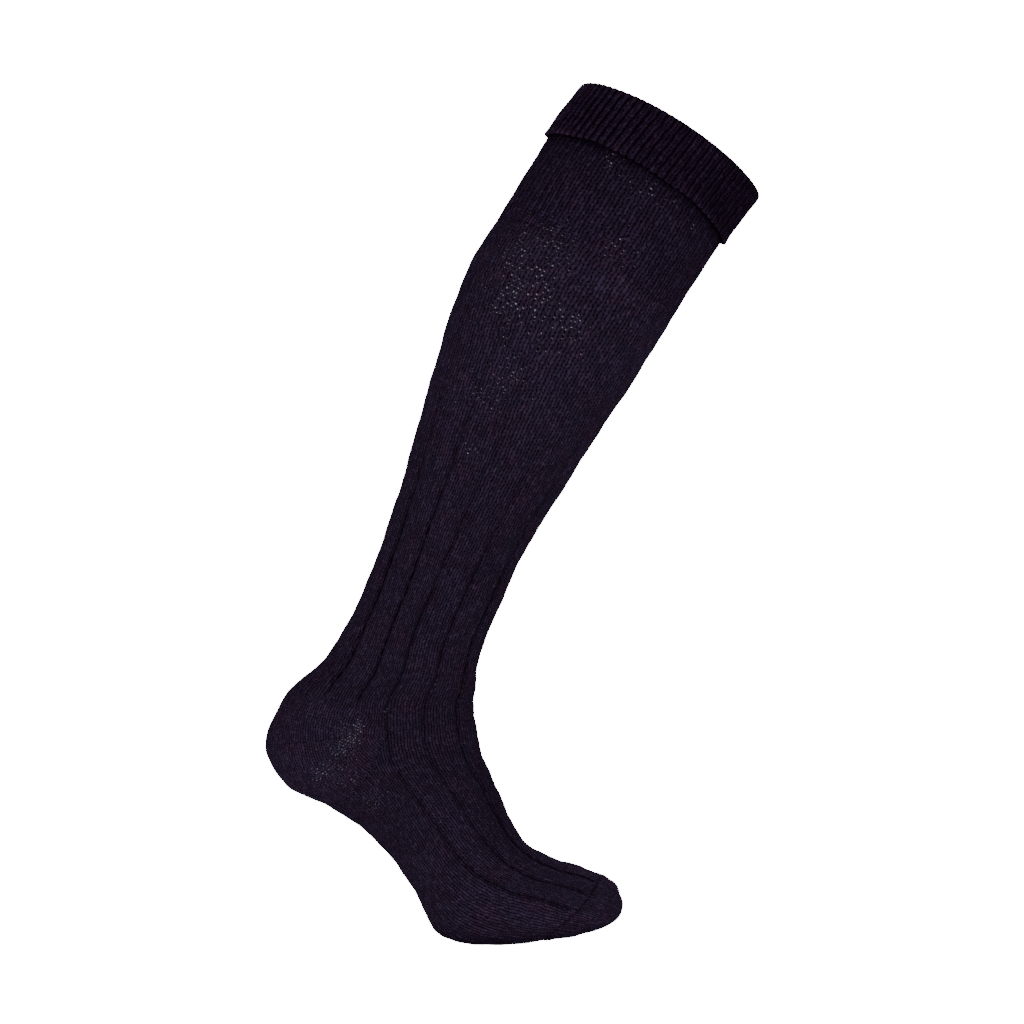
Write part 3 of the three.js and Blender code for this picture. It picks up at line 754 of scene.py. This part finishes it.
def rib_heights(stations, turns, plain):
    """Heights of the broad ribs, with painted shade in their grooves and furrows and painted light over the
    forefoot, fading to plain stitches where plain is 1.
    """
    share = np.clip(section_at(stations)["groove"], 0, 1) ** groove_sharpness
    wale = turns * wales + waves(groove_waves, stations, turns)
    from_groove = np.abs((wale + rib_wales / 2) % rib_wales - rib_wales / 2)
    half_width = np.interp(stations, groove_stations, groove_widths)
    sunk = np.exp(-(from_groove / half_width) ** 2) * share * (1 - plain)
    dome = rib_dome * share * (1 - plain) * (2 * from_groove / rib_wales - 1) ** 2
    furrow = 1 - wale_crest(turns)
    groove_shade = np.interp(stations, groove_stations, groove_shades)
    groove_shade = groove_shade * np.interp(np.minimum(turns, 1 - turns), side_turns, side_shades)
    # Painted shade in the grooves
    shade = groove_shade * sunk * (1 + waves(shade_waves, stations, turns))
    shade = np.minimum(shade, darkest_groove)
    # Painted light over the forefoot
    pale = np.interp(stations, painted_light_stations, painted_light_shares)
    heights = -rib_groove * sunk - dome - wale_ridge * furrow
    return heights, np.maximum(shade, furrow_shade * furrow ** furrow_sharpness) - pale


leg_steps = np.linspace(0, 1, leg_rows)[:, None]
leg_lower = heel_corner + (heel_upper - heel_corner) * pocket_share(around)
leg_stations = band_bottom + (leg_lower - band_bottom) * leg_steps
past_corner = np.clip((np.minimum(around, 1 - around) - 0.25) * wales, 0, 1)
leg_plain = past_corner * np.clip(1 - (1 - leg_steps) * leg_length / heel_fade_length, 0, 1)
leg_heights, leg_dark = rib_heights(leg_stations, around, leg_plain)
leg_courses = leg_steps * leg_length / course_height
leg_outer = skin(leg_stations, around, leg_heights, leg_courses, leg_dark,
                 pulled_open(leg_stations, around))
leg_inner_lower = heel_corner + (heel_upper - heel_corner) * pocket_share(plain_around)
leg_inner = skin(band_bottom + (leg_inner_lower - band_bottom) * leg_steps[::-leg_inner_step],
                 plain_around, -knit_wall, leg_courses[::-leg_inner_step])
leg = knit_piece("leg", [leg_outer, leg_inner], joined=True)
# The leg, the heel, the foot and the toe are of one wool, the palest because it is stretched the most
leg_colours = ("#312335", "#2d2437", "#130719")
broad_rib_wool = knitted_wool("broad_rib_wool", *leg_colours)
leg.data.materials.append(broad_rib_wool)
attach(leg, "root")
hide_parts("leg_calf", "leg_shin", "leg_ankle")

# Heel. A pocket of plain knitting let in at the back between two corners. It is turned on a line from
# each corner round the back: the courses above follow the leg, those below follow the sole.
corner_step = 0.15
heel_wale = 0.0034
heel_rows_above = 20
heel_rows_below = 28
line_gap = 0.003
# The line that the heel is turned on is a faint furrow with painted shade in it, and the stretched pocket
# is a little paler
gore_depth = 0.0003
gore_width = 0.0016
gore_shade = 0.1
heel_pale = 0.1
heel_length = heel_rise + heel_drop
first_column = points_per_wale * wales // 4
heel_columns = np.arange(first_column + 1, 3 * first_column)
heel_turns = np.concatenate([[first_column + corner_step], heel_columns, [3 * first_column - corner_step]])
heel_turns = (heel_turns / (points_per_wale * wales))[:, None]
gore_share = (heel_upper - heel_corner) / (heel_upper - heel_lower)
heel_steps = np.concatenate([
    np.linspace(0, gore_share - line_gap, heel_rows_above),
    np.linspace(gore_share + line_gap, 1, heel_rows_below),
])[None, :]
heel_from = heel_corner + (heel_upper - heel_corner) * pocket_share(heel_turns)
heel_to = heel_corner + (heel_lower - heel_corner) * pocket_share(heel_turns)
heel_stations = heel_from + (heel_to - heel_from) * heel_steps
heel_form = form_point(heel_stations, np.broadcast_to(heel_turns, heel_stations.shape))
heel_strides = np.linalg.norm(np.diff(heel_form, axis=1), axis=-1)
heel_walk = np.concatenate([np.zeros((len(heel_turns), 1)), np.cumsum(heel_strides, axis=1)], axis=1)
heel_from_end = heel_walk[:, -1:] - heel_walk
heel_courses = np.where(heel_steps < gore_share, heel_walk, heel_length - heel_from_end) / course_height
gore_row = np.argmax(heel_steps[0] > gore_share)
from_gore = np.abs(heel_walk - heel_walk[:, gore_row:gore_row + 1])
gore = np.exp(-(from_gore / gore_width) ** 2)
heel_across = np.linalg.norm(np.diff(heel_form, axis=0), axis=-1)
heel_width = np.vstack([np.zeros(heel_across.shape[1]), np.cumsum(heel_across, axis=0)])
heel_wales = heel_width / heel_wale
heel_outer = skin(heel_stations, heel_turns, -gore_depth * gore, heel_courses, gore_shade * gore - heel_pale,
                  pulled_open(heel_stations, heel_turns))
heel_inner = skin(heel_stations, heel_turns, -knit_wall, heel_courses)
heel_outer["wale"] = heel_wales
heel_inner["wale"] = heel_wales
heel_loop = {
    key: np.concatenate([heel_inner[key], heel_outer[key][:, ::-1]], axis=1) for key in heel_outer
}
heel = knit_piece("heel", [heel_loop], round_tube=False)
plain_wool = knitted_wool("plain_knit_wool", *leg_colours)
heel.data.materials.append(plain_wool)
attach(heel, "root")
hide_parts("heel")

# Foot. One tube of the same wool, knitted on from the leg and from the lower edge of the heel pocket.
# The broad ribs run on over the instep as far as the toe, and the sole is plain knitting.
toe_top_depth = 0.035
toe_sole_depth = 0.052
foot_length = 0.168
foot_rows = 71
foot_inner_step = 5
toe_fade_length = 0.004
# How many columns past the side the plain sole begins
sole_margin = 1.2
toe_top = station_after(last_station, -toe_top_depth, front_line)
toe_sole = station_after(last_station, -toe_sole_depth, back_line)


def toe_edge(turns):
    """The line where the foot ends and the toe begins: further forward on top than on the sole."""
    return toe_top + (toe_sole - toe_top) * 0.5 * (1 - np.cos(2 * math.pi * turns))


foot_steps = np.linspace(0, 1, foot_rows)[:, None]
foot_from = heel_corner + (heel_lower - heel_corner) * pocket_share(around)
foot_stations = foot_from + (toe_edge(around) - foot_from) * foot_steps
on_sole = np.clip((np.minimum(around, 1 - around) - 0.25) * wales - sole_margin, 0, 1)
at_toe = np.clip(1 - (1 - foot_steps) * foot_length / toe_fade_length, 0, 1)
foot_heights, foot_dark = rib_heights(foot_stations, around, np.maximum(on_sole, at_toe))
foot_courses = foot_steps * foot_length / course_height
foot_outer = skin(foot_stations, around, foot_heights, foot_courses, foot_dark,
                  pulled_open(foot_stations, around))
foot_inner_from = heel_corner + (heel_lower - heel_corner) * pocket_share(plain_around)
foot_inner_length = toe_edge(plain_around) - foot_inner_from
foot_inner = skin(foot_inner_from + foot_inner_length * foot_steps[::-foot_inner_step], plain_around,
                  -knit_wall, foot_courses[::-foot_inner_step])
foot = knit_piece("foot", [foot_outer, foot_inner], joined=True)
foot.data.materials.append(broad_rib_wool)
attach(foot, "root")
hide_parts("foot_arch", "foot_ball")

# Toe. A plain cup of the same wool that closes the foot and narrows to its tip. It is joined on by a
# linked seam, which stands up a little, with a crease beside it that is darkened by painted shade.
toe_length = 0.044
toe_rows = 29
toe_inner_step = 4
tip_hole = 0.06
seam_relief = 0.0007
seam_place = 0.0024
seam_width = 0.0010
crease_place = 1.8
crease_shade = 0.6
toe_steps = np.linspace(0, 1, toe_rows)[:, None]
toe_end = last_station - tip_hole
toe_stations = toe_edge(around) + (toe_end - toe_edge(around)) * toe_steps
toe_furrow = (1 - wale_crest(around)) * (1 - toe_steps)
from_seam = (toe_steps * toe_length - seam_place) / seam_width
seam = np.exp(-from_seam ** 2)
crease = np.exp(-((from_seam + crease_place) ** 2))
# Painted shade in the furrows and the crease, less the painted light over the toes
toe_dark = np.maximum(furrow_shade * toe_furrow ** furrow_sharpness, crease_shade * crease) - painted_light_shares[-1]
toe_courses = toe_steps * toe_length / course_height
toe_heights = seam_relief * (seam - crease) - wale_ridge * toe_furrow
toe_outer = skin(toe_stations, around, toe_heights, toe_courses, toe_dark)
toe_inner_from = toe_edge(plain_around)
toe_inner = skin(toe_inner_from + (toe_end - toe_inner_from) * toe_steps[::-toe_inner_step],
                 plain_around, -knit_wall, toe_courses[::-toe_inner_step])
toe_tip = (middle_line(section_at(last_station)) - mouth)[None, None, :]
toe_direction = middle_line(section_at(last_station)) - middle_line(section_at(last_station - 1))
toe_direction = toe_direction / np.linalg.norm(toe_direction)


def single_point(point):
    """A ring of one point, which closes a cup."""
    zero = np.zeros((1, 1))
    return {"points": point, "wale": zero, "course": zero + toe_courses[-1],
            "dark": zero - painted_light_shares[-1], "stretch": zero}


toe = knit_piece("toe", [single_point(toe_tip - knit_wall * toe_direction), toe_inner, toe_outer,
                         single_point(toe_tip)])
toe.data.materials.append(plain_wool)
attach(toe, "root")
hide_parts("toe")

# Floor. A plain white shooting table just under the toes. Its top is lit from below, so the camera
# sees it as white as the room behind.
floor_gap = 0.0006
floor_half = 12.0
floor_glow = 18.0
floor_level = float(solid_box[0][2]) - floor_gap
floor_corners = [
    (x * floor_half, y * floor_half, floor_level) for x, y in ((-1, -1), (1, -1), (1, 1), (-1, 1))
]
floor_mesh = bpy.data.meshes.new("floor")
floor_mesh.from_pydata(floor_corners, [], [(0, 1, 2, 3)])
floor = bpy.data.objects.new("floor", floor_mesh)
bpy.context.collection.objects.link(floor)
# Opal acrylic sheet, sanded matt: an even white with no highlight
opal_acrylic = bpy.data.materials.new("opal_acrylic")
opal_acrylic.use_nodes = True
opal_tree = opal_acrylic.node_tree
opal_tree.nodes.clear()
opal_look = add_node(opal_tree, "ShaderNodeBsdfPrincipled",
                     {"Base Color": linear("#f4f4f4"), "Roughness": 0.9, "Specular IOR Level": 0.2})
opal_glow = add_node(opal_tree, "ShaderNodeEmission", {"Strength": floor_glow})
opal_ray = add_node(opal_tree, "ShaderNodeLightPath")
opal_both = add_node(opal_tree, "ShaderNodeAddShader",
                     links={0: opal_look.outputs[0], 1: opal_glow.outputs[0]})
opal_mix = add_node(opal_tree, "ShaderNodeMixShader",
                    links={0: opal_ray.outputs["Is Camera Ray"], 1: opal_look.outputs[0],
                           2: opal_both.outputs[0]})
add_node(opal_tree, "ShaderNodeOutputMaterial", links={"Surface": opal_mix.outputs[0]})
floor.data.materials.append(opal_acrylic)

# Light. A white room that is lit much more than the sock, as behind a product, a large soft lamp in
# front on the left, one about as strong and lower on the right, and one high behind for the far side.
room_light = 0.32
room_white = 18.0
white = (1.0, 1.0, 1.0, 1.0)
lamp_aim = (-0.1, 0.0, -0.24)
room = bpy.data.worlds.new("white_room")
room.use_nodes = True
room_tree = room.node_tree
room_tree.nodes.clear()
soft_room = add_node(room_tree, "ShaderNodeBackground", {"Color": white, "Strength": room_light})
bright_room = add_node(room_tree, "ShaderNodeBackground", {"Color": white, "Strength": room_white})
room_ray = add_node(room_tree, "ShaderNodeLightPath")
room_mix = add_node(room_tree, "ShaderNodeMixShader",
                    links={0: room_ray.outputs["Is Camera Ray"], 1: soft_room.outputs[0],
                           2: bright_room.outputs[0]})
add_node(room_tree, "ShaderNodeOutputWorld", links={"Surface": room_mix.outputs[0]})
bpy.context.scene.world = room
for name, place, power, width in (
    ("main_lamp", (-1.9, -2.0, 0.45), 32, 1.2),
    ("fill_lamp", (1.6, -1.9, -0.2), 30, 1.4),
    ("back_lamp", (-0.1, 2.4, 1.3), 80, 1.4),
):
    lamp = bpy.data.objects.new(name, bpy.data.lights.new(name, "AREA"))
    lamp.data.energy = power
    lamp.data.size = width
    lamp.location = place
    towards = np.array(lamp_aim) - np.array(place)
    lamp.rotation_euler = (math.atan2(math.hypot(towards[0], towards[1]), -towards[2]), 0,
                           math.atan2(-towards[0], towards[1]))
    bpy.context.collection.objects.link(lamp)
